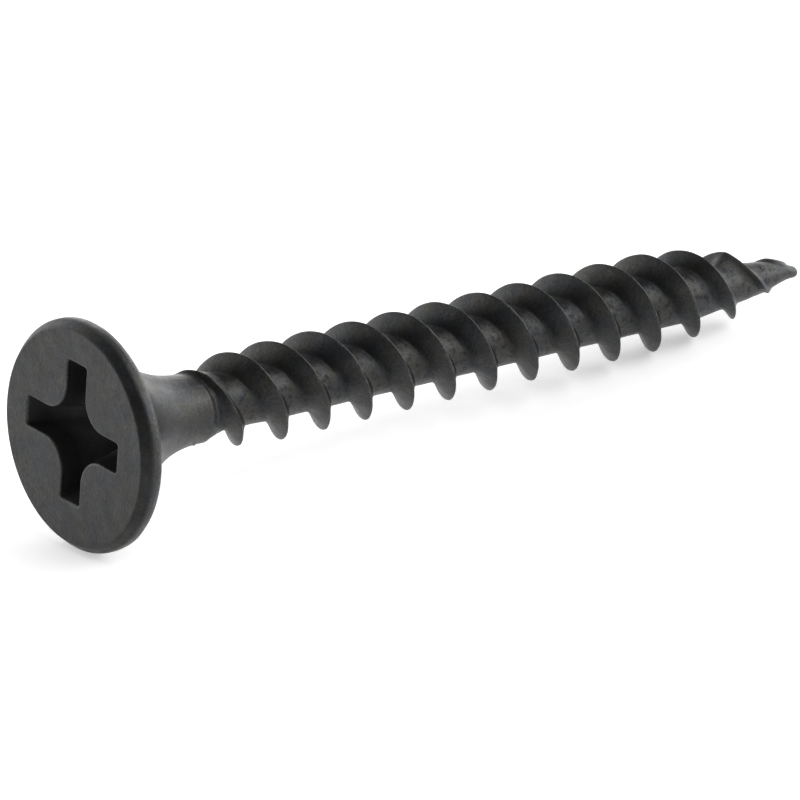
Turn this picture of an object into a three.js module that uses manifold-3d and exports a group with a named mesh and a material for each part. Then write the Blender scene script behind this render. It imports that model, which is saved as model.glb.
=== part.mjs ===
// A bugle-head wood screw lying along the Y axis: the head's face looks towards -Y, the point
// towards +Y. The real screw is one piece of steel wire, headed, punched and rolled cold, so it is
// one mesh: a turned core, two thread ridges rolled around it and a cross recess in the head.
// Every station is a distance along the screw's axis from the head's face. All sizes are in millimetres.

import * as THREE from "three";
import { mergeVertices } from "three/addons/utils/BufferGeometryUtils.js";
import Module from "manifold-3d";

const wasm = await Module();
wasm.setup();

// Overall size: a number 6 screw, nominally 1 1/4 inch (31.75 mm) long, with 0.2 mm of flash at its point.
const LENGTH = 31.95;

// Head: a flat face, a bevelled rim and a trumpet-shaped underside that runs into the neck.
const HEAD_RADIUS = 4.17;
const FACE_RADIUS = 3.9;
const BEVEL_RADIUS = 4.13;
const BEVEL_STATION = 0.28;
const RIM_STATION = 0.5;
const BUGLE_RADIUS = 4.45;

// Neck: the smooth length between the head and the thread.
const NECK_RADIUS = 1.27;
const NECK_START = 4.96;
const NECK_END = 5.29;

// Core: the wire between the thread ridges. It narrows in two straight tapers to a blunt point.
const CORE_RADIUS = 1.01;
const CORE_START = 6.1;
const TAPER_START = 26.8;
const POINT_START = 30.3;
const POINT_RADIUS = 0.57;
const TIP_RADIUS = 0.2;

// Thread: two right-hand ridges half a turn apart, each with sides at 31.5 degrees to its centre plane.
const THREAD_STARTS = 2;
const CREST_SPACING = 1.835;
const CREST_RADIUS = 1.765;
const CREST_WIDTH = 0.08;
const FLANK_ANGLE = THREE.MathUtils.degToRad(31.5);
const FIRST_CREST = 6.9;
const RIDGE_STATIONS = [4.5, 7.2, 25.85, 27.5, 28.7, 31.05];
const RIDGE_RADII = [1.21, CREST_RADIUS, CREST_RADIUS, 1.49, 1.235, 0.45];

// Cross recess: four wings with rounded corners between them, narrowing towards a shallow cone.
const WING_LENGTH = 2.55;
const WING_WIDTH = 1.12;
const WING_FILLET = 1.05;
const RECESS_DEPTH = 2.6;
const RECESS_FLOOR_SCALE = 0.5;
const RECESS_CONE_RADIUS = 0.95;
const RECESS_CONE_HEIGHT = 0.3;
const RECESS_TURN = THREE.MathUtils.degToRad(5);

// Flat sides round the screw, and how far pieces that are joined or cut reach into each other.
const SIDES = 32;
const OVERLAP = 0.12;

const LEAD = THREAD_STARTS * CREST_SPACING;

// Straight-line interpolation through a list of stations, held level beyond both ends.
function valueAt(station, stations, values) {
  if (station <= stations[0]) return values[0];
  for (let i = 1; i < stations.length; i++) {
    if (station <= stations[i]) {
      const share = (station - stations[i - 1]) / (stations[i] - stations[i - 1]);
      return THREE.MathUtils.lerp(values[i - 1], values[i], share);
    }
  }
  return values.at(-1);
}

// Radius of the core under the thread, without the neck.
function coreRadiusAt(station) {
  const stations = [TAPER_START, POINT_START, LENGTH - TIP_RADIUS];
  return valueAt(station, stations, [CORE_RADIUS, POINT_RADIUS, TIP_RADIUS]);
}

// Points of a circular arc. Its angles are measured from the outward direction towards the point.
function arc(centreRadius, centreStation, radius, from, to, steps) {
  const curve = new THREE.EllipseCurve(
    centreRadius, centreStation, radius, radius, from, to, from > to,
  );
  return curve.getPoints(steps);
}

// Half outline of the turned shape: radius in x, station in y, from the face's centre to the point.
function turnedOutline() {
  const bugleCentre = NECK_RADIUS + BUGLE_RADIUS;
  const bugleAngle = Math.acos((bugleCentre - HEAD_RADIUS) / BUGLE_RADIUS);
  return [
    new THREE.Vector2(0, 0),
    new THREE.Vector2(FACE_RADIUS, 0),
    new THREE.Vector2(BEVEL_RADIUS, BEVEL_STATION),
    new THREE.Vector2(HEAD_RADIUS, RIM_STATION),
    ...arc(bugleCentre, NECK_START, BUGLE_RADIUS, Math.PI + bugleAngle, Math.PI, 12),
    new THREE.Vector2(NECK_RADIUS, NECK_END),
    new THREE.Vector2(CORE_RADIUS, CORE_START),
    new THREE.Vector2(CORE_RADIUS, TAPER_START),
    new THREE.Vector2(POINT_RADIUS, POINT_START),
    ...arc(0, LENGTH - TIP_RADIUS, TIP_RADIUS, 0, Math.PI / 2, 3).slice(0, -1),
    new THREE.Vector2(0, LENGTH),
  ];
}

// One thread ridge: a wedge-shaped section swept along the helix, its root buried in the core.
function makeRidge(startIndex) {
  const firstStation = RIDGE_STATIONS[0];
  const lastStation = RIDGE_STATIONS.at(-1);
  const stepLength = LEAD / SIDES;
  const steps = Math.round((lastStation - firstStation) / stepLength);
  const firstAngleStep = Math.ceil((firstStation - FIRST_CREST) / stepLength);

  const positions = [];
  for (let i = 0; i <= steps; i++) {
    const angleStep = firstAngleStep + i;
    const angle = (2 * Math.PI * (angleStep + (startIndex * SIDES) / THREAD_STARTS)) / SIDES;
    const station = FIRST_CREST + angleStep * stepLength;
    const crest = valueAt(station, RIDGE_STATIONS, RIDGE_RADII);
    const root = coreRadiusAt(station + CREST_SPACING / 2) - OVERLAP;
    const rootHalfWidth = CREST_WIDTH / 2 + (crest - root) * Math.tan(FLANK_ANGLE);
    const section = [
      [root, station - rootHalfWidth],
      [crest, station - CREST_WIDTH / 2],
      [crest, station + CREST_WIDTH / 2],
      [root, station + rootHalfWidth],
    ];
    for (const [radius, y] of section) {
      positions.push(radius * Math.sin(angle), y, radius * Math.cos(angle));
    }
  }

  const corners = 4;
  const triangles = [];
  for (let i = 0; i < steps; i++) {
    for (let k = 0; k < corners; k++) {
      const here = i * corners + k;
      const beside = i * corners + ((k + 1) % corners);
      triangles.push(here, here + corners, beside, beside, here + corners, beside + corners);
    }
  }
  const end = steps * corners;
  triangles.push(0, 1, 2, 0, 2, 3);
  triangles.push(end, end + 2, end + 1, end, end + 3, end + 2);

  const ridge = new THREE.BufferGeometry();
  ridge.setAttribute("position", new THREE.Float32BufferAttribute(positions, 3));
  ridge.setIndex(triangles);
  return ridge;
}

// Outline of the recess at the head's face: a cross whose inner corners are filleted.
function crossOutline() {
  const halfWidth = WING_WIDTH / 2;
  const filletCentre = halfWidth + WING_FILLET;
  const points = [];
  for (let wing = 0; wing < 4; wing++) {
    const turn = (wing * Math.PI) / 2;
    const fillet = new THREE.EllipseCurve(
      filletCentre, filletCentre, WING_FILLET, WING_FILLET, -Math.PI / 2, -Math.PI, true,
    );
    const quarterOutline = [
      new THREE.Vector2(WING_LENGTH, -halfWidth),
      new THREE.Vector2(WING_LENGTH, halfWidth),
      ...fillet.getPoints(4),
    ];
    points.push(...quarterOutline.map((p) => p.rotateAround(new THREE.Vector2(), turn)));
  }
  return new THREE.Shape(points);
}

// The punch that cuts the recess. It starts just in front of the face and narrows as it goes in.
function makeRecessPunch() {
  const punch = new THREE.ExtrudeGeometry(crossOutline(), {
    depth: OVERLAP + RECESS_DEPTH,
    steps: 1,
    bevelEnabled: false,
  });
  punch.translate(0, 0, -OVERLAP);
  const place = punch.getAttribute("position");
  for (let i = 0; i < place.count; i++) {
    const share = place.getZ(i) / RECESS_DEPTH;
    const scale = THREE.MathUtils.lerp(1, RECESS_FLOOR_SCALE, share);
    place.setXY(i, place.getX(i) * scale, place.getY(i) * scale);
  }
  punch.rotateX(-Math.PI / 2);

  const cone = new THREE.ConeGeometry(RECESS_CONE_RADIUS, RECESS_CONE_HEIGHT + OVERLAP, SIDES / 2);
  cone.translate(0, RECESS_DEPTH + (RECESS_CONE_HEIGHT - OVERLAP) / 2, 0);

  punch.rotateY(RECESS_TURN);
  cone.rotateY(RECESS_TURN);
  return toSolid(punch).add(toSolid(cone));
}

// A closed three.js geometry as a manifold-3d solid.
function toSolid(geometry) {
  geometry.deleteAttribute("normal");
  geometry.deleteAttribute("uv");
  const merged = mergeVertices(geometry, 1e-4);
  return new wasm.Manifold(
    new wasm.Mesh({
      numProp: 3,
      vertProperties: new Float32Array(merged.getAttribute("position").array),
      triVerts: new Uint32Array(merged.index.array),
    }),
  );
}

// A manifold-3d solid as a three.js geometry.
function toGeometry(solid) {
  const { vertProperties, triVerts } = solid.getMesh();
  const geometry = new THREE.BufferGeometry();
  geometry.setAttribute("position", new THREE.BufferAttribute(vertProperties, 3));
  geometry.setIndex(new THREE.BufferAttribute(triVerts, 1));
  geometry.computeVertexNormals();
  return geometry;
}

function makeScrew() {
  let screw = toSolid(new THREE.LatheGeometry(turnedOutline(), SIDES));
  for (let start = 0; start < THREAD_STARTS; start++) {
    screw = screw.add(toSolid(makeRidge(start)));
  }
  return toGeometry(screw.subtract(makeRecessPunch()));
}

const blackPhosphate = new THREE.MeshStandardMaterial({
  color: 0x2b2c2d,
  roughness: 0.5,
  metalness: 0.6,
});

const screwMesh = new THREE.Mesh(makeScrew(), blackPhosphate);
screwMesh.name = "screw";
screwMesh.position.y = -LENGTH / 2;

const woodScrew = new THREE.Group();
woodScrew.add(screwMesh);

export default woodScrew;
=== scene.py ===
"""A black phosphated bugle-head wood screw, lying on a pale studio floor.

The screw is one piece of steel, so it is one closed mesh. All sizes below are in millimetres. A station is a
distance along the screw's axis from the head's face; the face looks towards -Y and the point towards +Y.
Angles round the axis are measured from +Z towards +X.
"""

import math

import bpy
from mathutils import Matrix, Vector, noise


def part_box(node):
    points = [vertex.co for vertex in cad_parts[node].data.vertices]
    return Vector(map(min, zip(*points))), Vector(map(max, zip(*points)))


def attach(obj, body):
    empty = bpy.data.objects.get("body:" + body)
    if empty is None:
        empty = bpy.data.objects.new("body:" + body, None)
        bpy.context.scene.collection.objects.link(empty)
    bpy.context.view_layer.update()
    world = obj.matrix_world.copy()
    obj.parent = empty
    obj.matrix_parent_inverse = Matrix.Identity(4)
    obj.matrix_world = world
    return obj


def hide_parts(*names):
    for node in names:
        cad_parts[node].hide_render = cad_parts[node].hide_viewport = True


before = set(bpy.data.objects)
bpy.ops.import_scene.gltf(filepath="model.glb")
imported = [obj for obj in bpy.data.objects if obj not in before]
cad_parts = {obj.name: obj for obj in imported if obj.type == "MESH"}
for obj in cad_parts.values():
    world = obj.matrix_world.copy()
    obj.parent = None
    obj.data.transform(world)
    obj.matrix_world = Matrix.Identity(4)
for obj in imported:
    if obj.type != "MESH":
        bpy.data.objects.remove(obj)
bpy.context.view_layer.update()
box_low, box_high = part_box("screw")

MM = 0.001
FULL_TURN = 2 * math.pi
QUARTER_TURN = math.pi / 2

# Overall size, from the CAD box.
LENGTH = (box_high.y - box_low.y) / MM
HEAD_RADIUS = (box_high.x - box_low.x) / 2 / MM
FACE_Y = box_low.y / MM

# Head: a flat face, a bevelled front edge, a rim that rounds over, and a trumpet-shaped underside. RIM_CURVE
# is the power by which the bevel turns into the rim. The back of the rim lies RIM_THINNING nearer the face
# than the trumpet's curve would, and this fades out inwards to the radius RIM_THINNING_START.
FACE_RADIUS = 3.9
FACE_EDGE_ROUND = 0.03
BEVEL_RADIUS = 4.13
BEVEL_STATION = 0.28
RIM_STATION = 0.43
RIM_CURVE = 1.8
RIM_BACK_ROUND = 0.3
RIM_THINNING = 0.06
RIM_THINNING_START = 3.0
BUGLE_RADIUS = 4.45

# The press left the head a little off the wire's axis and not quite square to it, and the neck a little off
# the axis the other way. A RISE and a FADE are the two stations between which such a thing comes or goes.
HEAD_OFFSET = Vector((-0.01, 0, -0.043))
HEAD_TILT = Vector((0.02, 0, 0.012))
HEAD_FADE = (0.8, 4.2)
NECK_OFFSET = Vector((-0.015, 0, 0.037))
NECK_OFFSET_RISE = (1.0, 3.5)
NECK_OFFSET_FADE = (6.0, 9.0)

# Neck: the smooth length between the head and the thread. On the top side it ends NECK_SKEW later.
NECK_RADIUS = 1.27
NECK_START = 4.96
NECK_END = 5.29
NECK_SKEW = 0.2
NECK_SKEW_RISE = (4.5, 5.0)
NECK_SKEW_FADE = (6.0, 7.0)

# Core: the wire between the thread ridges, narrowing in two tapers to a blunt point that droops a little. The
# corners between these lengths are eased over CORNER_EASE to each side.
CORE_RADIUS = 1.01
CORE_START = 6.1
TAPER_START = 26.8
POINT_START = 30.3
POINT_RADIUS = 0.57
TIP_RADIUS = 0.22
CORNER_EASE = 0.08
DROOP_DIRECTION = Vector((0.39, 0, -0.92))
POINT_DROOP = 0.04
POINT_DROOP_RISE = (26.5, 28.7)
TIP_DROOP = 0.09
TIP_DROOP_RISE = (31.3, LENGTH)

# Thread: two right-hand ridges, half a turn apart. A ridge's crest has the RIDGE_RADII at the RIDGE_STATIONS:
# it rises out of the neck, drops on the taper and runs out on the point. A steepness is the height that a
# ridge's side loses per length along the axis.
THREAD_STARTS = 2
CREST_SPACING = 1.835
LEAD = THREAD_STARTS * CREST_SPACING
CREST_RADIUS = 1.765
CREST_HALF_WIDTH = 0.04
FLANK_STEEPNESS = 1 / math.tan(math.radians(31.5))
FIRST_CREST = 6.9
LAST_FULL_CREST = 9
RIDGE_STATIONS = [4.5, 7.2, 25.85, 27.5, 28.7, 28.85, 29.2, 30.2, 30.5, 30.8, 31.3]
RIDGE_RADII = [1.21, CREST_RADIUS, CREST_RADIUS, 1.49, 1.235, 1.2, 0.93, 0.65, 0.63, 0.49, 0.2]
ROOT_FILLET = 0.1

# The thread rolls left these marks. Each has a direction round the screw, and its SIDE holds the cosines of
# the angles from that direction between which it comes in.
# - A small lip where the first ridge starts on the neck.
LIP_HEIGHT = 0.09
LIP_ANGLE = math.radians(10)
LIP_SIDE = (0.8, 0.99)
LIP_FADE = (5.3, 5.9)
# - A fold round the end of the neck, with a small step down behind it. The step is measured from the fold.
CREASE_STATION = 5.22
CREASE_WAVE = 0.09
CREASE_ANGLE = math.radians(70)
CREASE_SIDE = (-0.6, 0.6)
CREASE_DEPTH = 0.07
CREASE_HALF_WIDTH = 0.045
CREASE_STEP_SHARE = 0.6
CREASE_STEP_RISE = (-0.02, 0.05)
CREASE_STEP_FADE_START = 0.2
# - Late crests that are wide and, on one side, fall gently towards the head like a ratchet's teeth.
BLUNT_ANGLE = math.radians(35)
BLUNT_SIDE = (0.3, 0.95)
BLUNT_RISE = (28.1, 28.6)
BLUNT_FADE = (29.6, 30.2)
BLUNT_STEEPNESS = 0.3
LATE_CREST_WIDENING = 0.1
LATE_CREST_RISE = (28.6, 29.8)
# - Flash drawn out towards the tip along the top of the point. AHEAD is its side towards the tip.
TOP_ANGLE = math.radians(-23)
TOP_SIDE = (-0.2, 1.0)
FLASH_RISE = (29.8, 30.5)
FLASH_SHIFT = 0.2
FLASH_STEEPNESS_AHEAD = 0.38
FLASH_STEEPNESS_BEHIND = 0.6

# Cross recess: four wings with rounded corners between them, narrowing towards a shallow cone. Two wings are
# a little longer than the others.
WING_LENGTH = 2.55
WING_HALF_WIDTH = 0.56
WING_FILLET = 1.05
WING_CORNER = 0.12
WING_EXTRA_LENGTHS = [0.13, 0, 0, 0.18]
RECESS_DEPTH = 2.6
RECESS_FLOOR_SCALE = 0.5
RECESS_CONE_DEPTH = 2.9
RECESS_EDGE_ROUND = 0.05
RECESS_TURN = math.radians(5)
RECESS_OFFSET = Vector((-0.02, 0, 0.108))

# Unevenness of the metal: how wide its bumps are and how high. The shifts keep the patterns from lining up.
NO_BUMPS = (1, 0)
FACE_BUMPS = (0.9, 0.012)
RECESS_BUMPS = (0.9, 0.02)
UNDERSIDE_BUMPS = (1.2, 0.012)
CORE_BUMPS = (0.55, 0.012)
FINE_CORE_BUMPS = (0.22, 0.005)
CREST_BUMPS = (0.8, 0.014)
FLANK_BUMPS = (0.4, 0.008)
FINE_CORE_SHIFT = Vector((7, 3, 5))
FLANK_SHIFT = Vector((2, 9, 4))

# Painted shade dulls the steel's sheen and darkens it, from 0 for none to 1 for the most. It lies on the face
# and the bevel, and on the recess walls at the walls' level, where it also sets a flat dark grey base. Beyond
# that, at the bottom of the recess, it sets a paler grey base as painted fill light. Painted shade also
# darkens the head's side of each ridge's root, the fold at the neck, and a band TORN_SHIFT from the middle of
# the torn late crest.
FACE_PAINTED_SHADE = 0.25
BEVEL_PAINTED_SHADE = 0.46
WALL_PAINTED_SHADE = 0.8
WALL_SHADE_DEPTHS = (0.0, 0.12)
RECESS_FILL_DEPTHS = (0.5, 2.0)
ROOT_PAINTED_SHADE = 0.44
ROOT_SHADE_HEIGHT = 0.25
CREASE_PAINTED_SHADE = 0.75
TORN_PAINTED_SHADE = 0.75
TORN_HALF_WIDTH = 0.16
TORN_SHIFT = -0.12
TORN_RISE = (28.7, 29.2)
TORN_FADE = (29.8, 30.3)

# Wear brightens edges and the top WEAR_DEPTH of a ridge, and fades in as the ridge grows through the
# WORN_HEIGHTS. Pits lie between the ridges, and fade in as the core rises above the flanks of the ridges.
EDGE_WEAR = 0.35
WEAR_DEPTH = 0.07
WORN_HEIGHTS = (0.05, 0.2)
PITTED_HEIGHTS = (-0.15, 0.1)
PITTING_RISE = (CORE_START - 0.5, CORE_START)

# Mesh: columns run along the screw. Each crest has the same rows on both sides, at these distances from it.
# Rows nearer to an end of the thread zone than ROW_MERGE become part of that end's row.
COLUMNS = 160
CREST_ROWS = [0, 0.02, 0.04, 0.06, 0.09, 0.14, 0.2, 0.27, 0.34, 0.4, 0.44, 0.48, 0.52, 0.57, 0.64, 0.73, 0.82]
THREAD_ZONE = (4.5, 31.45)
ROW_MERGE = 0.004


def value_at(station, stations, values):
    """Straight-line interpolation through a list of stations, held level beyond both ends."""
    if station <= stations[0]:
        return values[0]
    for i in range(1, len(stations)):
        if station <= stations[i]:
            share = (station - stations[i - 1]) / (stations[i] - stations[i - 1])
            return values[i - 1] + share * (values[i] - values[i - 1])
    return values[-1]


def smooth_step(value, start, end):
    """0 before start, 1 after end and a smooth rise between them."""
    share = min(1.0, max(0.0, (value - start) / (end - start)))
    return share * share * (3 - 2 * share)


def window(value, rise, fade):
    """0 before the rise, 1 between it and the fade, and 0 after the fade."""
    return smooth_step(value, *rise) * (1 - smooth_step(value, *fade))


def facing(angle, middle, side):
    """1 on the side of the screw round a middle angle and 0 on the other, changing between two cosines."""
    return smooth_step(math.cos(angle - middle), *side)


def bell(distance, half_width):
    """1 at no distance, falling smoothly to nothing at about twice the half width."""
    return math.exp(-((distance / half_width) ** 2))


def smooth_max(a, b, width):
    """The larger of two heights, with the corner between them filled over the given width."""
    overlap = max(width - abs(a - b), 0.0) / width
    return max(a, b) + overlap * overlap * width / 4


def place(radius, station, angle):
    """A point of the screw, with the head and neck a little off the axis and the point drooping."""
    across = Vector((radius * math.sin(angle), 0, radius * math.cos(angle)))
    head = 1 - smooth_step(station, *HEAD_FADE)
    neck = window(station, NECK_OFFSET_RISE, NECK_OFFSET_FADE)
    droop = POINT_DROOP * smooth_step(station, *POINT_DROOP_RISE)
    droop += TIP_DROOP * smooth_step(station, *TIP_DROOP_RISE)
    slope = across.dot(HEAD_TILT)
    point = across + head * HEAD_OFFSET + neck * NECK_OFFSET + droop * DROOP_DIRECTION
    point.y = FACE_Y + station + head * slope
    return point


def column_angle(column):
    """Angle round the screw of a column of vertices."""
    return RECESS_TURN + FULL_TURN * column / COLUMNS


def plain_radius(station):
    """Radius of the neck and core at a station, with sharp corners."""
    if station < NECK_START:
        return NECK_RADIUS + BUGLE_RADIUS - math.sqrt(BUGLE_RADIUS**2 - (NECK_START - station) ** 2)
    stations = [NECK_END, CORE_START, TAPER_START, POINT_START, LENGTH - TIP_RADIUS]
    return value_at(station, stations, [NECK_RADIUS, CORE_RADIUS, CORE_RADIUS, POINT_RADIUS, TIP_RADIUS])


def core_radius(station):
    """Radius of the neck and core at a station, with eased corners."""
    return sum(plain_radius(station + shift) for shift in (-CORNER_EASE, 0, CORNER_EASE)) / 3


def bump(point, size, height):
    """How far the uneven metal stands out at a point, for bumps of this size and height."""
    return height * noise.noise(point / size)


class Builder:
    """Collects the vertices and faces of the screw, and the wear, pitting and painted shade at each vertex.
    """

    def __init__(self):
        self.points = []
        self.all_marks_and_painted_shade = {"wear": [], "grime": [], "pitting": []}
        self.faces = []

    def add(self, point, **marks_and_painted_shade):
        self.points.append(point)
        for name, values in self.all_marks_and_painted_shade.items():
            values.append(marks_and_painted_shade.get(name, 0.0))
        return len(self.points) - 1

    def ring(self, outline, station, bumps=NO_BUMPS, **marks_and_painted_shade):
        """A closed row of vertices: outline gives (x, z) for each column."""
        row = []
        for x, z in outline:
            point = place(math.hypot(x, z), station, math.atan2(x, z))
            point.y += bump(point, *bumps)
            row.append(self.add(point, **marks_and_painted_shade))
        return row

    def join(self, first, second):
        """Quads between two rows of vertices."""
        for i in range(COLUMNS):
            j = (i + 1) % COLUMNS
            self.faces.append((first[i], first[j], second[j], second[i]))


def circle(radius):
    """Outline of a circle round the axis."""
    return [(radius * math.sin(column_angle(i)), radius * math.cos(column_angle(i))) for i in range(COLUMNS)]


def half_wing(step, offset):
    """A point of half a wing's outline, which runs from the middle of its end to the middle of a fillet."""
    end_steps = 4
    corner_steps = 3
    side_steps = 5
    fillet_steps = COLUMNS // 8 - end_steps - corner_steps - side_steps
    half_width = WING_HALF_WIDTH + offset
    length = WING_LENGTH + offset
    corner = WING_CORNER + offset
    fillet = WING_FILLET - offset
    fillet_centre = WING_HALF_WIDTH + WING_FILLET
    if step <= end_steps:
        return length, (half_width - corner) * step / end_steps
    step -= end_steps
    if step <= corner_steps:
        turn = QUARTER_TURN * step / corner_steps
        return length - corner + corner * math.cos(turn), half_width - corner + corner * math.sin(turn)
    step -= corner_steps
    if step <= side_steps:
        start = length - corner
        return start + (fillet_centre - start) * step / side_steps, half_width
    step -= side_steps
    turn = QUARTER_TURN / 2 * step / fillet_steps
    return fillet_centre - fillet * math.sin(turn), fillet_centre - fillet * math.cos(turn)


def cross(offset, scale=1.0):
    """Outline of the recess, grown outwards by the offset and then scaled."""
    outline = []
    wing_columns = COLUMNS // 4
    for column in range(COLUMNS):
        wing = (column + wing_columns // 2) // wing_columns
        step = column - wing * wing_columns
        along, across = half_wing(abs(step), offset)
        along += WING_EXTRA_LENGTHS[wing % 4] * smooth_step(along, WING_LENGTH / 2, WING_LENGTH)
        if step < 0:
            across = -across
        turn = RECESS_TURN + wing * QUARTER_TURN
        x = along * math.sin(turn) + across * math.cos(turn)
        z = along * math.cos(turn) - across * math.sin(turn)
        outline.append((x * scale + RECESS_OFFSET.x, z * scale + RECESS_OFFSET.z))
    return outline


def blend_outlines(first, second, share):
    """An outline this share of the way from the first to the second."""
    return [(a[0] + share * (b[0] - a[0]), a[1] + share * (b[1] - a[1])) for a, b in zip(first, second)]


def recess_scale(depth):
    """How much the recess has narrowed at a depth."""
    return 1 + (RECESS_FLOOR_SCALE - 1) * depth / RECESS_DEPTH


def add_recess(builder):
    """The recess from its cone up to the edge at the head's face. Returns the last row."""
    floor = cross(0, RECESS_FLOOR_SCALE)
    middle = (RECESS_OFFSET.x, RECESS_OFFSET.z)
    rows = []
    # The cone has the most painted shade, which gives it little sheen and a paler grey base as painted fill
    # light.
    # Rows of the cone: the share of the way from its middle to its edge, and the depth there.
    for share, depth in ((0.15, 2.87), (0.4, 2.8), (0.7, 2.7), (0.92, 2.63)):
        rows.append(builder.ring(blend_outlines([middle] * COLUMNS, floor, share), depth, grime=1.0))
    # The walls are painted with shade from just below the edge, paling towards the bottom as painted fill
    # light.
    for depth in (RECESS_DEPTH, 2.55, 2.3, 1.9, 1.5, 1.1, 0.7, 0.4, 0.2, 0.1):
        wall_shade = smooth_step(depth, *WALL_SHADE_DEPTHS)
        recess_fill = smooth_step(depth, *RECESS_FILL_DEPTHS)
        grime = WALL_PAINTED_SHADE * wall_shade + (1 - WALL_PAINTED_SHADE) * recess_fill
        rows.append(builder.ring(cross(0, recess_scale(depth)), depth, RECESS_BUMPS, grime=grime))
    edge_steps = 4
    for step in range(edge_steps + 1):
        turn = QUARTER_TURN * step / edge_steps
        offset = RECESS_EDGE_ROUND * (1 - math.cos(turn))
        depth = RECESS_EDGE_ROUND * (1 - math.sin(turn))
        rows.append(builder.ring(cross(offset, recess_scale(depth)), depth, wear=EDGE_WEAR))
    cone_tip = place(RECESS_OFFSET.length, RECESS_CONE_DEPTH, math.atan2(*middle))
    centre = builder.add(cone_tip, grime=1.0)
    for i in range(COLUMNS):
        j = (i + 1) % COLUMNS
        builder.faces.append((centre, rows[0][j], rows[0][i]))
    for first, second in zip(rows, rows[1:]):
        builder.join(first, second)
    return rows[-1]


def rim_outline():
    """Radius, station, wear and painted shade from the bevelled front edge, over the rim, to the neck."""
    # The face is painted with shade, and the bevel with more, which fades out over the rim.
    points = [
        (FACE_RADIUS - FACE_EDGE_ROUND, 0.0, 0.2, FACE_PAINTED_SHADE),
        (FACE_RADIUS - 0.4 * FACE_EDGE_ROUND, 0.15 * FACE_EDGE_ROUND, 0.3, FACE_PAINTED_SHADE),
        (FACE_RADIUS + 0.35 * FACE_EDGE_ROUND, 0.9 * FACE_EDGE_ROUND, 0.1, BEVEL_PAINTED_SHADE),
    ]
    for share in (0.15, 0.3, 0.5, 0.7, 0.9, 1.0):
        radius = FACE_RADIUS + share * (BEVEL_RADIUS - FACE_RADIUS)
        points.append((radius, share * BEVEL_STATION, 0.0, BEVEL_PAINTED_SHADE))
    for share in (0.2, 0.4, 0.6, 0.8, 1.0):
        radius = HEAD_RADIUS - (HEAD_RADIUS - BEVEL_RADIUS) * (1 - share) ** RIM_CURVE
        station = BEVEL_STATION + share * (RIM_STATION - BEVEL_STATION)
        points.append((radius, station, 0.0, BEVEL_PAINTED_SHADE * (1 - share)))

    bugle_centre = NECK_RADIUS + BUGLE_RADIUS
    under_radius = HEAD_RADIUS - RIM_BACK_ROUND
    start = math.acos((bugle_centre - under_radius) / BUGLE_RADIUS)
    under_station = NECK_START - BUGLE_RADIUS * math.sin(start) - RIM_THINNING
    rim_back = under_station - RIM_BACK_ROUND
    points.append((HEAD_RADIUS, (RIM_STATION + rim_back) / 2, 0.1, 0.0))
    for turn in (0, 0.25, 0.5, 0.75, 1.0):
        angle = turn * QUARTER_TURN
        radius = under_radius + RIM_BACK_ROUND * math.cos(angle)
        station = rim_back + RIM_BACK_ROUND * math.sin(angle)
        points.append((radius, station, 0.5, 0.0))
    end = math.asin((NECK_START - THREAD_ZONE[0]) / BUGLE_RADIUS)
    steps = 30
    for step in range(1, steps + 1):
        angle = start + (end - start) * step / steps
        radius = bugle_centre - BUGLE_RADIUS * math.cos(angle)
        thinning = RIM_THINNING * smooth_step(radius, RIM_THINNING_START, under_radius)
        station = NECK_START - BUGLE_RADIUS * math.sin(angle) - thinning
        points.append((radius, station, 0.0, 0.0))
    return points


def add_head(builder, recess_row):
    """The face, rim and underside of the head. Returns the row at the start of the thread zone."""
    edge = cross(RECESS_EDGE_ROUND)
    rim = circle(FACE_RADIUS - FACE_EDGE_ROUND)
    previous = recess_row
    bump_size, bump_height = FACE_BUMPS
    # The face is painted with shade.
    for share in (0.02, 0.07, 0.15, 0.25, 0.36, 0.48, 0.6, 0.72, 0.84, 0.93, 0.98):
        bumps = (bump_size, bump_height * math.sin(math.pi * share))
        row = builder.ring(blend_outlines(edge, rim, share), 0.0, bumps, grime=FACE_PAINTED_SHADE)
        builder.join(previous, row)
        previous = row
    bump_size, bump_height = UNDERSIDE_BUMPS
    for radius, station, wear, grime in rim_outline():
        height = bump_height * smooth_step(station, 0.0, 0.5)
        row = []
        for column in range(COLUMNS):
            angle = column_angle(column)
            uneven = bump(place(radius, station, angle), bump_size, height)
            row.append(builder.add(place(radius + uneven, station, angle), wear=wear, grime=grime))
        builder.join(previous, row)
        previous = row
    return previous


def crease_station(angle):
    """Station of the fold that the edge of the thread rolls leaves round the end of the neck."""
    return CREASE_STATION + CREASE_WAVE * math.sin(angle - CREASE_ANGLE)


def crease_fold(station, angle):
    """How far a point is down in that fold, from 0 to 1."""
    strength = facing(angle, CREASE_ANGLE, CREASE_SIDE)
    return strength * bell(station - crease_station(angle), CREASE_HALF_WIDTH)


def crease_depth(station, angle):
    """Depth of the fold and of the small step down behind it."""
    behind = station - crease_station(angle)
    fade = (CREASE_STEP_FADE_START, CORE_START - crease_station(angle))
    step = CREASE_STEP_SHARE * window(behind, CREASE_STEP_RISE, fade)
    return CREASE_DEPTH * (crease_fold(station, angle) + step * facing(angle, CREASE_ANGLE, CREASE_SIDE))


def smooth_body_radius(station, angle):
    """Radius of the neck or core between the ridges, before the unevenness of the metal."""
    skew = NECK_SKEW * facing(angle, TOP_ANGLE, TOP_SIDE) * window(station, NECK_SKEW_RISE, NECK_SKEW_FADE)
    return core_radius(station - skew) - crease_depth(station, angle)


def crest_radius(crest_station, angle):
    """Radius of a ridge's crest."""
    radius = value_at(crest_station, RIDGE_STATIONS, RIDGE_RADII)
    radius += bump(place(CREST_RADIUS, crest_station, angle), *CREST_BUMPS)
    lip = facing(angle, LIP_ANGLE, LIP_SIDE) * (1 - smooth_step(crest_station, *LIP_FADE))
    return radius + LIP_HEIGHT * lip


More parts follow.
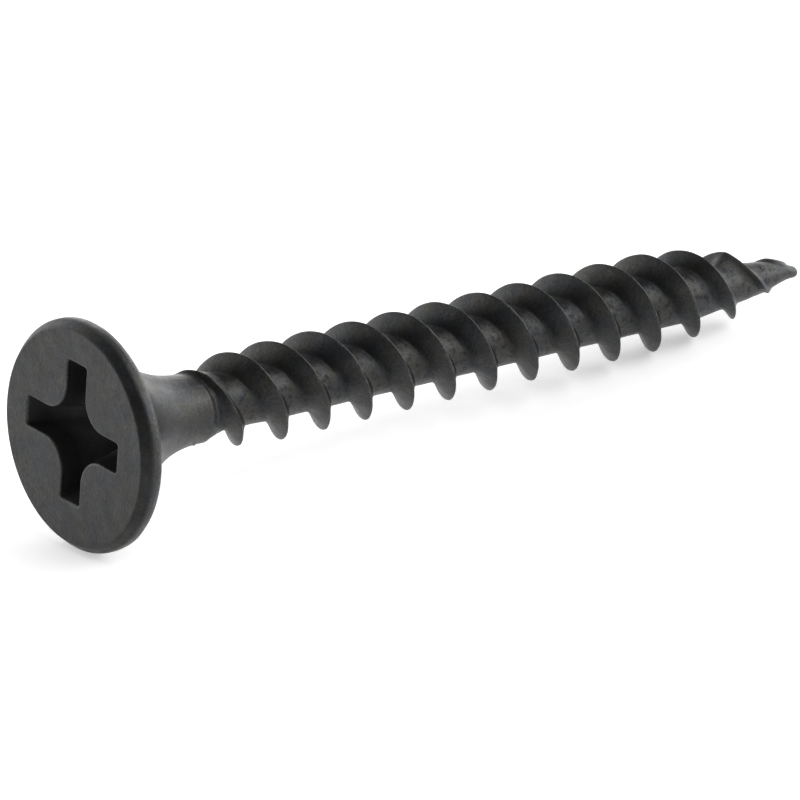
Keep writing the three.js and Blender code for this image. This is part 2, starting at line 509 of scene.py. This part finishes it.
def bluntness(crest_station, angle):
    """1 where a ridge falls gently towards the head, and 0 where both its flanks are alike."""
    return window(crest_station, BLUNT_RISE, BLUNT_FADE) * facing(angle, BLUNT_ANGLE, BLUNT_SIDE)


def flank_drop(crest_station, angle, from_crest):
    """How far a ridge's flank lies below its crest."""
    half_width = CREST_HALF_WIDTH + LATE_CREST_WIDENING * smooth_step(crest_station, *LATE_CREST_RISE)
    flash = smooth_step(crest_station, *FLASH_RISE) * (0.5 + 0.5 * math.cos(angle - TOP_ANGLE))
    from_ridge = from_crest - flash * FLASH_SHIFT
    steepness = FLANK_STEEPNESS
    if from_ridge > 0:
        steepness += flash * (FLASH_STEEPNESS_AHEAD - FLANK_STEEPNESS)
    else:
        blunted = bluntness(crest_station, angle) * (BLUNT_STEEPNESS - FLANK_STEEPNESS)
        steepness += min(blunted, flash * (FLASH_STEEPNESS_BEHIND - FLANK_STEEPNESS))
    distance = math.sqrt(from_ridge**2 + half_width**2) - half_width
    return max(distance, 0) * steepness


def thread_marks_and_painted_shade(station, angle, from_crest, body, ridge, crest):
    """Wear, painted shade and pitting at a point between or on the ridges, from the three radii there."""
    crest_station = station - from_crest
    torn = window(crest_station, TORN_RISE, TORN_FADE)
    wear = smooth_step(ridge, crest - WEAR_DEPTH, crest) * smooth_step(crest - body, *WORN_HEIGHTS)
    pitting = smooth_step(body - ridge, *PITTED_HEIGHTS) * smooth_step(station, *PITTING_RISE)
    # Painted shade on the head's side of the roots of sharp ridges, in the fold at the neck, and in a band by
    # the torn late crest.
    root_shade = 0.0
    if from_crest < 0:
        sharpness = 1 - bluntness(crest_station, angle)
        root_shade = ROOT_PAINTED_SHADE * bell(ridge - body, ROOT_SHADE_HEIGHT) * sharpness
    crease_shade = CREASE_PAINTED_SHADE * crease_fold(station, angle)
    torn_shade = torn * TORN_PAINTED_SHADE * bell(from_crest - TORN_SHIFT, TORN_HALF_WIDTH)
    grime = max(root_shade, crease_shade, torn_shade)
    return {"wear": wear * (1 - torn), "grime": grime, "pitting": pitting}


def thread_point(station, angle, from_crest):
    """A point of the neck, core or thread, and the wear, pitting and painted shade there.

    from_crest is the distance along the axis from the nearest crest, positive on the side of the point.
    """
    body = smooth_body_radius(station, angle)
    here = place(body, station, angle)
    body += bump(here, *CORE_BUMPS) + bump(here + FINE_CORE_SHIFT, *FINE_CORE_BUMPS)
    crest_station = station - from_crest
    crest = crest_radius(crest_station, angle)
    ridge = crest - flank_drop(crest_station, angle, from_crest)
    ridge += bump(here + FLANK_SHIFT, *FLANK_BUMPS)
    marks_and_painted_shade = thread_marks_and_painted_shade(station, angle, from_crest, body, ridge, crest)
    return place(smooth_max(body, ridge, ROOT_FILLET), station, angle), marks_and_painted_shade


def add_thread(builder, first_row):
    """The neck's end, the core and both ridges, in rows that follow the thread. Returns the last row."""
    zone_start, zone_end = THREAD_ZONE
    offsets = [-row for row in reversed(CREST_ROWS[1:])] + CREST_ROWS
    rows_per_crest = len(offsets)
    first_crest_number = math.floor((zone_start - FIRST_CREST - LEAD) / CREST_SPACING) - 1
    last_crest_number = math.ceil((zone_end - FIRST_CREST) / CREST_SPACING) + 1
    last_row = []
    for column in range(COLUMNS):
        angle = column_angle(column)
        shift = (zone_end - FIRST_CREST - LEAD * angle / FULL_TURN) / CREST_SPACING
        from_crest = (shift - round(shift)) * CREST_SPACING
        point, marks_and_painted_shade = thread_point(zone_end, angle, from_crest)
        last_row.append(builder.add(point, **marks_and_painted_shade))

    known = {}

    def vertex(column, row):
        if column == COLUMNS:
            return vertex(0, row + THREAD_STARTS * rows_per_crest)
        crest_number, step = divmod(row, rows_per_crest)
        crest_number += first_crest_number
        angle = column_angle(column)
        station = FIRST_CREST + LEAD * angle / FULL_TURN + crest_number * CREST_SPACING + offsets[step]
        if station <= zone_start + ROW_MERGE:
            return first_row[column]
        if station >= zone_end - ROW_MERGE:
            return last_row[column]
        if (column, row) not in known:
            point, marks_and_painted_shade = thread_point(station, angle, offsets[step])
            known[column, row] = builder.add(point, **marks_and_painted_shade)
        return known[column, row]

    row_count = (last_crest_number - first_crest_number) * rows_per_crest
    for column in range(COLUMNS):
        for row in range(row_count):
            corners = []
            for corner in ((column, row), (column + 1, row), (column + 1, row + 1), (column, row + 1)):
                index = vertex(*corner)
                if index not in corners:
                    corners.append(index)
            if len(corners) > 2:
                builder.faces.append(tuple(corners))
    return last_row


def add_tip(builder, previous):
    """The blunt rounded end of the point."""
    zone_end = THREAD_ZONE[1]
    round_start = LENGTH - TIP_RADIUS
    start_radius = core_radius(zone_end)
    for share in (0.25, 0.5, 0.75, 1.0):
        station = zone_end + share * (round_start - zone_end)
        row = []
        for column in range(COLUMNS):
            radius = start_radius + share * (TIP_RADIUS - start_radius)
            row.append(builder.add(place(radius, station, column_angle(column)), wear=share))
        builder.join(previous, row)
        previous = row
    for turn in (0.2, 0.4, 0.6, 0.8, 0.93):
        angle = turn * QUARTER_TURN
        station = round_start + TIP_RADIUS * math.sin(angle)
        row = []
        for column in range(COLUMNS):
            point = place(TIP_RADIUS * math.cos(angle), station, column_angle(column))
            row.append(builder.add(point, wear=1.0))
        builder.join(previous, row)
        previous = row
    end = builder.add(place(0, LENGTH, 0), wear=1.0)
    for i in range(COLUMNS):
        builder.faces.append((previous[i], previous[(i + 1) % COLUMNS], end))


def add_object(name, data):
    """A new object in the scene, made of a mesh, a camera or a light."""
    thing = bpy.data.objects.new(name, data)
    bpy.context.scene.collection.objects.link(thing)
    return thing


def make_screw(material):
    """The whole screw as one mesh, with wear, pitting and painted shade as attributes of its vertices."""
    builder = Builder()
    row = add_recess(builder)
    row = add_head(builder, row)
    row = add_thread(builder, row)
    add_tip(builder, row)

    mesh = bpy.data.meshes.new("screw_body")
    mesh.from_pydata([point * MM for point in builder.points], [], builder.faces)
    for name, values in builder.all_marks_and_painted_shade.items():
        mesh.attributes.new(name, "FLOAT", "POINT").data.foreach_set("value", values)
    mesh.materials.append(material)
    mesh.shade_smooth()
    mesh.update()
    return add_object("screw_body", mesh)


class Nodes:
    """A material's or world's node tree, with short calls to add and link nodes."""

    def __init__(self, tree):
        self.tree = tree
        tree.nodes.clear()

    def add(self, kind, **settings):
        """A new node with these settings."""
        node = self.tree.nodes.new(kind)
        for name, value in settings.items():
            setattr(node, name, value)
        return node

    def link(self, output, socket):
        self.tree.links.new(output, socket)

    def noise(self, vector, size, detail, roughness):
        """Noise whose blotches are about this many millimetres across."""
        node = self.add("ShaderNodeTexNoise")
        node.inputs["Scale"].default_value = 1 / (size * MM)
        node.inputs["Detail"].default_value = detail
        node.inputs["Roughness"].default_value = roughness
        self.link(vector, node.inputs["Vector"])
        return node.outputs["Fac"]

    def ramp(self, value, stops):
        """Colour ramp; each stop is a position and a grey level or a colour."""
        node = self.add("ShaderNodeValToRGB")
        elements = node.color_ramp.elements
        while len(elements) > 1:
            elements.remove(elements[-1])
        for i, (position, colour) in enumerate(stops):
            element = elements[0] if i == 0 else elements.new(position)
            element.position = position
            shade = colour if isinstance(colour, tuple) else (colour,) * 3
            element.color = (*shade, 1)
        self.link(value, node.inputs["Fac"])
        return node.outputs["Color"]

    def mix(self, factor, first, second, blend="MIX"):
        """Mix of two colours; the factor and the colours are values or sockets."""
        node = self.add("ShaderNodeMix", data_type="RGBA", blend_type=blend)
        for source, socket in ((factor, node.inputs[0]), (first, node.inputs[6]), (second, node.inputs[7])):
            if isinstance(source, bpy.types.NodeSocket):
                self.link(source, socket)
            else:
                socket.default_value = (*source, 1) if isinstance(source, tuple) else source
        return node.outputs[2]

    def math(self, operation, first, second):
        """Sum, product or larger of two numbers, each a value or a socket."""
        node = self.add("ShaderNodeMath", operation=operation)
        for source, socket in zip((first, second), node.inputs):
            if isinstance(source, bpy.types.NodeSocket):
                self.link(source, socket)
            else:
                socket.default_value = source
        return node.outputs[0]


def new_material(name):
    """A material with a Principled shader: the material, its nodes and the shader."""
    material = bpy.data.materials.new(name)
    material.use_nodes = True
    nodes = Nodes(material.node_tree)
    output = nodes.add("ShaderNodeOutputMaterial")
    shader = nodes.add("ShaderNodeBsdfPrincipled")
    nodes.link(shader.outputs[0], output.inputs["Surface"])
    return material, nodes, shader


# Coat: about how many millimetres each of its patterns is across, then its colours and how much it shines.
PATCH_SIZE = 0.55
GRAIN_SIZE = 0.09
TINT_SIZE = 0.8
SPECK_SIZE = 0.24
SCUFF_SIZE = 0.7
RELIEF_DEPTH = 0.025
DARK_COAT = (0.005, 0.005, 0.0055)
PLAIN_COAT = (0.009, 0.0093, 0.0097)
PALE_COAT = (0.018, 0.018, 0.018)
COOL_TINT = (0.9, 0.93, 1.06)
WARM_TINT = (1.06, 1.03, 0.9)
BARE_STEEL = (0.12, 0.12, 0.116)
BARE_SHARE = 0.4
# Flat greys for the base where the most shade is painted: dark on the recess walls, paler as painted fill
# light at its bottom.
PAINTED_SHADE_GREY = 0.016
PAINTED_FILL_GREY = 0.09
# Sheen where no shade is painted, and where the most is.
UNSHADED_SHEEN = 0.45
SHADED_SHEEN = 0.06
COOL_SHEEN = (0.87, 0.92, 1.0)
WARM_SHEEN = (1.0, 0.97, 0.87)


def coat_colour(nodes, patches, grain, tint, scuffs):
    """Mottled dark coat with faint cool and warm tints, worn to grey where the wear attribute says."""
    coat = nodes.ramp(patches, [(0.3, DARK_COAT), (0.52, PLAIN_COAT), (0.75, PALE_COAT)])
    coloured = nodes.mix(1.0, coat, nodes.ramp(tint, [(0.35, COOL_TINT), (0.65, WARM_TINT)]), "MULTIPLY")

    wear = nodes.add("ShaderNodeAttribute", attribute_name="wear").outputs["Fac"]
    scuff_patches = nodes.ramp(scuffs, [(0.42, 0.1), (0.6, 1.0)])
    scuffed = nodes.math("MULTIPLY", scuff_patches, nodes.ramp(grain, [(0.35, 0.0), (0.65, 1.0)]))
    worn = nodes.math("MULTIPLY", nodes.math("MULTIPLY", wear, scuffed), BARE_SHARE)
    return nodes.mix(worn, coloured, BARE_STEEL)


def phosphate_material():
    """Black phosphate and oil on steel: dark, mottled and satin, worn along edges, with sheen dulled by
    painted shade.
    """
    material, nodes, shader = new_material("phosphate_coat")
    place_at = nodes.add("ShaderNodeTexCoord").outputs["Object"]
    patches = nodes.noise(place_at, PATCH_SIZE, detail=4, roughness=0.6)
    grain = nodes.noise(place_at, GRAIN_SIZE, detail=3, roughness=0.6)
    tint = nodes.noise(place_at, TINT_SIZE, detail=4, roughness=0.6)
    specks = nodes.noise(place_at, SPECK_SIZE, detail=4, roughness=0.7)
    scuffs = nodes.noise(place_at, SCUFF_SIZE, detail=2, roughness=0.5)

    # The vertex attribute read here is painted shade. Where it is strongest, the base becomes a flat grey:
    # dark on the recess walls, the fold and the torn crest, and paler as painted fill light at the bottom of
    # the recess.
    grime = nodes.add("ShaderNodeAttribute", attribute_name="grime").outputs["Fac"]
    painted_base_share = nodes.ramp(grime, [(0.6, 0.0), (WALL_PAINTED_SHADE, 1.0)])
    painted_shade_and_fill_grey = nodes.ramp(grime, [(WALL_PAINTED_SHADE, PAINTED_SHADE_GREY), (1.0, PAINTED_FILL_GREY)])
    steel = coat_colour(nodes, patches, grain, tint, scuffs)
    nodes.link(nodes.mix(painted_base_share, steel, painted_shade_and_fill_grey), shader.inputs["Base Color"])

    pitting = nodes.add("ShaderNodeAttribute", attribute_name="pitting").outputs["Fac"]
    pits = nodes.math("MULTIPLY", pitting, nodes.ramp(specks, [(0.36, 0.55), (0.5, 0.0)]))
    # The sheen is cut by pits and by the painted shade, which darkens the reflections there.
    dulled = nodes.math("MAXIMUM", grime, pits)
    dulled = nodes.ramp(dulled, [(0.0, UNSHADED_SHEEN), (WALL_PAINTED_SHADE, SHADED_SHEEN)])
    sheen = nodes.math("MULTIPLY", dulled, nodes.ramp(grain, [(0.3, 0.76), (0.7, 1.24)]))
    nodes.link(sheen, shader.inputs["Specular IOR Level"])
    sheen_tint = nodes.ramp(tint, [(0.36, COOL_SHEEN), (0.64, WARM_SHEEN)])
    nodes.link(sheen_tint, shader.inputs["Specular Tint"])
    nodes.link(nodes.ramp(patches, [(0.3, 0.46), (0.7, 0.32)]), shader.inputs["Roughness"])
    shader.inputs["IOR"].default_value = 1.5

    relief = nodes.math("ADD", nodes.math("MULTIPLY", grain, 0.6), nodes.math("MULTIPLY", patches, 0.5))
    relief = nodes.math("ADD", relief, nodes.math("MULTIPLY", specks, 0.6))
    bump_node = nodes.add("ShaderNodeBump")
    bump_node.inputs["Strength"].default_value = 0.8
    bump_node.inputs["Distance"].default_value = RELIEF_DEPTH * MM
    nodes.link(relief, bump_node.inputs["Height"])
    nodes.link(bump_node.outputs[0], shader.inputs["Normal"])
    return material


# Floor: a wide disc of pale paper that glows a little.
FLOOR_RADIUS = 1500.0
FLOOR_SIDES = 96
FLOOR_GLOW = 0.37
PAPER_PATCH_SIZE = 40


def floor_material():
    """Matt pale paper."""
    material, nodes, shader = new_material("pale_floor")
    place_at = nodes.add("ShaderNodeTexCoord").outputs["Object"]
    paper = nodes.noise(place_at, PAPER_PATCH_SIZE, detail=3, roughness=0.5)
    nodes.link(nodes.ramp(paper, [(0.3, 0.9), (0.7, 0.92)]), shader.inputs["Base Color"])
    shader.inputs["Roughness"].default_value = 0.9
    shader.inputs["Emission Color"].default_value = (1, 1, 1, 1)
    shader.inputs["Emission Strength"].default_value = FLOOR_GLOW
    return material


def make_floor():
    """A flat floor that the head's rim and the last full crest both touch, as under a screw on a table."""
    rim_touch = place(HEAD_RADIUS, RIM_STATION, math.pi)
    touching_station = FIRST_CREST + LEAD / 2 + LAST_FULL_CREST * CREST_SPACING
    crest_touch = place(CREST_RADIUS, touching_station, math.pi)
    along = (crest_touch - rim_touch).normalized()
    across = Vector((1, 0, 0))
    corners = []
    for i in range(FLOOR_SIDES):
        turn = FULL_TURN * i / FLOOR_SIDES
        corner = rim_touch + along * FLOOR_RADIUS * math.cos(turn) - across * FLOOR_RADIUS * math.sin(turn)
        corners.append(corner * MM)
    mesh = bpy.data.meshes.new("studio_floor")
    mesh.from_pydata(corners, [], [tuple(range(FLOOR_SIDES))])
    mesh.materials.append(floor_material())
    floor = add_object("studio_floor", mesh)


# Camera: the direction and distance it stands in from the point it looks at. Azimuth 0 is in front of the
# head's face, and 90 degrees is on the +X side.
CAMERA_AZIMUTH = math.radians(53.159)
CAMERA_ELEVATION = math.radians(18.391)
CAMERA_DISTANCE = 488.57
CAMERA_AIM = Vector((-0.39, -1.52, -1.633))
CAMERA_LENS = 621.9
CAMERA_SENSOR_WIDTH = 36
CAMERA_CLIP_START = 50
CAMERA_CLIP_END = 5000


def direction(azimuth, elevation):
    """Unit vector at these two angles, in radians."""
    level = math.cos(elevation)
    return Vector((math.sin(azimuth) * level, -math.cos(azimuth) * level, math.sin(elevation)))


def make_camera():
    """A camera with a long lens, looking at the screw from in front and a little above."""
    towards_camera = direction(CAMERA_AZIMUTH, CAMERA_ELEVATION)
    data = bpy.data.cameras.new("camera")
    data.lens = CAMERA_LENS
    data.sensor_width = CAMERA_SENSOR_WIDTH
    data.clip_start = CAMERA_CLIP_START * MM
    data.clip_end = CAMERA_CLIP_END * MM
    camera = add_object("camera", data)
    camera.location = (CAMERA_AIM + towards_camera * CAMERA_DISTANCE) * MM
    camera.rotation_mode = "QUATERNION"
    camera.rotation_quaternion = (-towards_camera).to_track_quat("-Z", "Y")
    bpy.context.scene.camera = camera


# Soft boxes far round the screw: azimuth from the camera's, elevation and brightness. None stands where the
# camera does, and the one above it is weak.
SOFT_BOXES = [
    (80, 14, 0.98),
    (120, 14, 1.43),
    (160, 14, 0.77),
    (200, 14, 0.5),
    (240, 14, 0.6),
    (280, 14, 0.95),
    (0, 50, 0.12),
    (72, 50, 1.16),
    (216, 50, 0.54),
]
SOFT_BOX_BRIGHTNESS = 1.3
SOFT_BOX_WIDTH = math.radians(55)
ROOM_GLOW = 0.05


def make_lights():
    """Soft light from the sides, the back and above, over a faint glow from all round."""
    for number, (azimuth, elevation, brightness) in enumerate(SOFT_BOXES):
        data = bpy.data.lights.new(f"soft_box_{number}", "SUN")
        data.angle = SOFT_BOX_WIDTH
        data.energy = brightness * SOFT_BOX_BRIGHTNESS
        light = add_object(data.name, data)
        towards = direction(CAMERA_AZIMUTH + math.radians(azimuth), math.radians(elevation))
        light.rotation_mode = "QUATERNION"
        light.rotation_quaternion = towards.to_track_quat("Z", "Y")
        light.location = towards

    world = bpy.data.worlds.new("studio")
    bpy.context.scene.world = world
    world.use_nodes = True
    nodes = Nodes(world.node_tree)
    output = nodes.add("ShaderNodeOutputWorld")
    background = nodes.add("ShaderNodeBackground")
    background.inputs["Color"].default_value = (1, 1, 1, 1)
    background.inputs["Strength"].default_value = ROOM_GLOW
    nodes.link(background.outputs[0], output.inputs["Surface"])


screw = make_screw(phosphate_material())
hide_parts("screw")
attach(screw, "root")
make_floor()
make_camera()
make_lights()

view = bpy.context.scene.view_settings
view.view_transform = "Standard"
view.look = "None"
